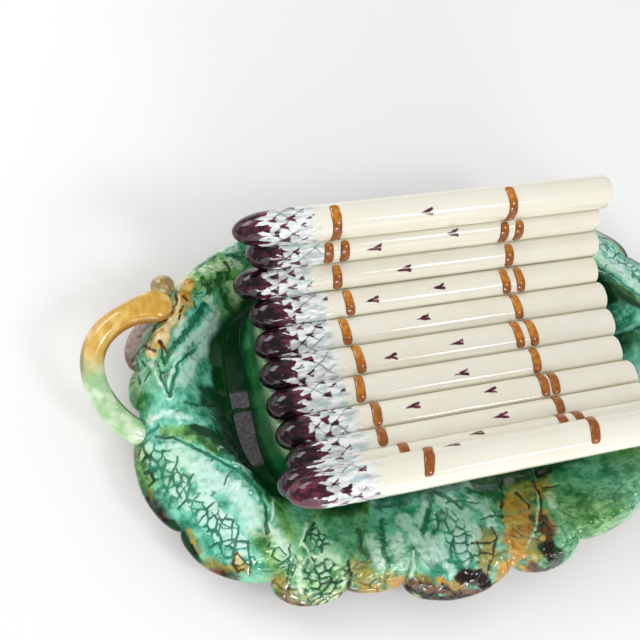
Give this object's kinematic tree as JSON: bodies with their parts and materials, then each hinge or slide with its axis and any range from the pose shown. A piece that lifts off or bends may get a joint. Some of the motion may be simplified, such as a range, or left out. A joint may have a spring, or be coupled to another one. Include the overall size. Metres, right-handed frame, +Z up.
{
  "type": "asparagus plate",
  "caption": "Majolica asparagus plate: a cradle of moulded spears on a stand, set in an oval dish of curled leaves with a twig handle at each end.",
  "frame": {"origin": "on the table under the middle of the dish", "axes": "+X along the spears from tips to butts, +Y across the dish towards the side that the cradle stands nearer to, +Z up"},
  "size_m": [0.4084, 0.2566, 0.0989],
  "materials": {
    "spear_glaze": "glossy cream glaze, dark purple painted tips",
    "tie_glaze": "glossy ochre brown glaze",
    "leaf_glaze": "glossy turquoise to green glaze pooled in the veins, amber at the edges",
    "stand_glaze": "glossy deep green glaze",
    "handle_glaze": "glossy amber glaze running into pale green",
    "floor_glaze": "dark green glaze above, mottled brown below"
  },
  "bodies": {
    "root": {"dish_floor": "floor_glaze", "stand": "stand_glaze", "spear_01": "spear_glaze", "spear_02": "spear_glaze", "spear_03": "spear_glaze", "spear_04": "spear_glaze", "spear_05": "spear_glaze", "spear_06": "spear_glaze", "spear_07": "spear_glaze", "spear_08": "spear_glaze", "spear_09": "spear_glaze", "spear_10": "spear_glaze", "spear_11": "spear_glaze", "tip_ties": "tie_glaze", "butt_ties": "tie_glaze", "left_end_leaf": "leaf_glaze", "near_left_corner_leaf": "leaf_glaze", "near_left_small_leaf": "leaf_glaze", "near_side_leaf": "leaf_glaze", "near_right_long_leaf": "leaf_glaze", "right_end_leaf": "leaf_glaze", "far_right_corner_leaf": "leaf_glaze", "far_right_small_leaf": "leaf_glaze", "far_side_leaf": "leaf_glaze", "far_left_long_leaf": "leaf_glaze", "left_handle": "handle_glaze", "right_handle": "handle_glaze"}
  },
  "joints": []
}
